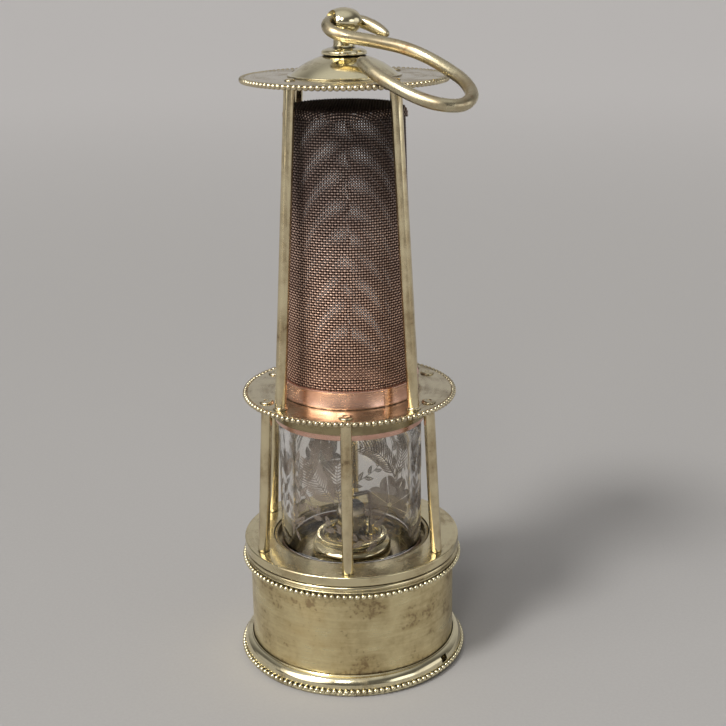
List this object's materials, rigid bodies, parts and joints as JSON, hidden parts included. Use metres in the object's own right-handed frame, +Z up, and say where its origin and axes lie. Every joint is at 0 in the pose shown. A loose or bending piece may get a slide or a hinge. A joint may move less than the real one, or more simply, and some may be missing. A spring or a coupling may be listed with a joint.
{
  "type": "miners flame safety lamp",
  "caption": "Brass oil flame safety lamp: beaded oil vessel screwed into a pillared cage with an engraved glass, a wire gauze chimney, a hood and a swivelling suspension hook.",
  "frame": {"origin": "centre of the underside of the oil vessel, on the lamp's axis, where it stands", "axes": "+Z up the lamp's axis towards the hook, -Y is the front, in line with one of the six lower pillars"},
  "size_m": [0.0872, 0.0897, 0.2399],
  "materials": {
    "brass": "polished, lightly tarnished",
    "copper": "polished copper",
    "gauze": "woven wire gauze, oxidised",
    "steel": "drawn wire",
    "glass": "clear with frosted wheel engraving",
    "leather": "oiled washer leather",
    "cotton": "braided cotton, charred at the tip"
  },
  "bodies": {
    "vessel": {"vessel_shell": "brass", "vessel_base": "brass", "vessel_top": "brass", "thread_neck": "brass", "foot_moulding": "brass", "burner_boss": "brass", "burner_ring": "brass", "wick_tube": "brass", "wick": "cotton", "pricker_guide": "brass"},
    "pricker_bush": {"pricker_bush": "brass"},
    "pricker": {"pricker": "steel"},
    "seal_washer": {"seal_washer": "leather"},
    "cage": {"lower_ring": "brass", "glass_seat_ring": "brass", "glass_gasket_lower": "leather", "glass_cylinder": "glass", "glass_gasket_upper": "leather", "glass_cap_ring": "copper", "glass_collar": "brass", "deck_plate": "brass", "gauze_collar": "copper", "gauze_cylinder": "gauze", "gauze_cap": "gauze", "lower_pillar_1": "brass", "lower_pillar_2": "brass", "lower_pillar_3": "brass", "lower_pillar_4": "brass", "lower_pillar_5": "brass", "lower_pillar_6": "brass", "deck_screw_1": "brass", "deck_screw_2": "brass", "deck_screw_3": "brass", "deck_screw_4": "brass", "deck_screw_5": "brass", "deck_screw_6": "brass", "upper_pillar_1": "brass", "upper_pillar_2": "brass", "upper_pillar_3": "brass", "upper_pillar_4": "brass", "hood_plate": "brass", "hood_dome": "brass", "swivel_washer": "brass"},
    "swivel": {"swivel_eye": "brass", "swivel_nut": "brass"},
    "hook": {"hook": "brass"}
  },
  "joints": [
    {"name": "pricker_turn", "type": "hinge", "parent": "vessel", "child": "pricker_bush", "pos_m": [0.00719, 0.00415, 0], "axis": [0, 0, 1], "range_deg": [-100, 100]},
    {"name": "pricker_lift", "type": "slide", "parent": "pricker_bush", "child": "pricker", "axis": [0, 0, 1], "range_m": [0, 0.003]},
    {"name": "cage_unscrew", "type": "hinge", "parent": "vessel", "child": "seal_washer", "pos_m": [0, 0, 0], "axis": [0, 0, 1], "range_deg": [0, 1440]},
    {"name": "cage_lift", "type": "slide", "parent": "seal_washer", "child": "cage", "axis": [0, 0, 1], "range_m": [0, 0.006]},
    {"name": "eye_swivel", "type": "hinge", "parent": "cage", "child": "swivel", "pos_m": [0, 0, 0.2353], "axis": [0, 0, 1], "continuous": true},
    {"name": "hook_swing", "type": "hinge", "parent": "swivel", "child": "hook", "pos_m": [0, 0, 0.2353], "axis": [-0.9063, -0.4226, 0], "range_deg": [0, 226.8]}
  ],
  "couplings": [
    {"joint": "cage_lift", "follows": "cage_unscrew", "m_per_rad": 0.00023873}
  ]
}
